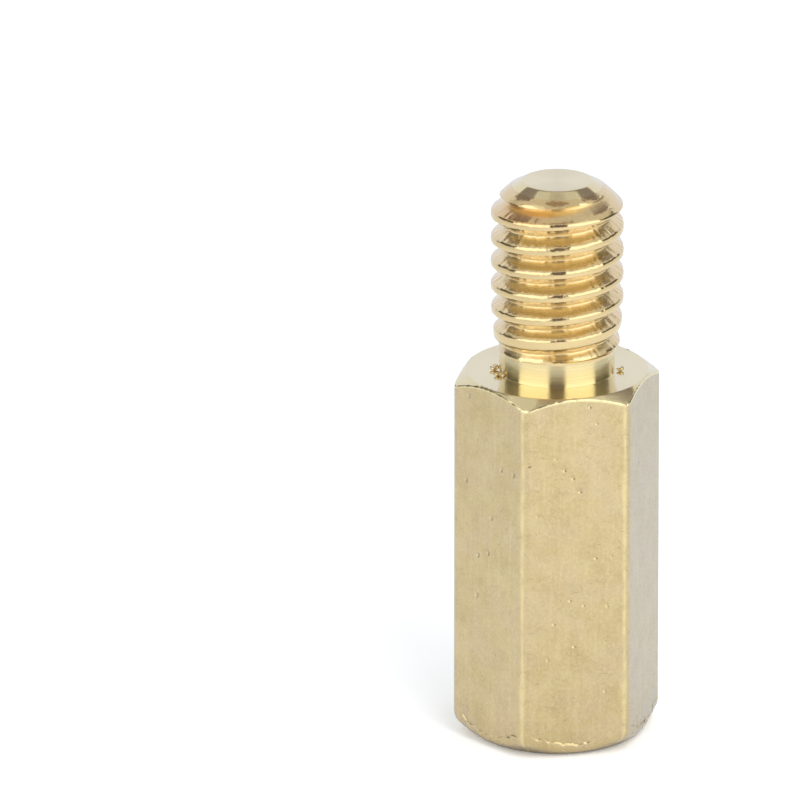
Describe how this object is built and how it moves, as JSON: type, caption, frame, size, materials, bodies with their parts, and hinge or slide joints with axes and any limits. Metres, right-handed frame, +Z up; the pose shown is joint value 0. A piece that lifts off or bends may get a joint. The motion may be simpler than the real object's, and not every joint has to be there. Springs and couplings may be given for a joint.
{
  "type": "male and female hex standoff",
  "caption": "Brass hex standoff with a threaded stud on a necked shoulder and a blind tapped hole in its base.",
  "frame": {"origin": "centre of the base face, on the axis, at the mouth of the tapped hole", "axes": "+Z up the axis to the tip of the stud; -Y out of one flat of the hex; +X through one long edge"},
  "size_m": [0.0062, 0.0054, 0.0172],
  "materials": {
    "brass": "bright drawn flats with turned ends"
  },
  "bodies": {
    "root": {"standoff": "brass"}
  },
  "joints": []
}
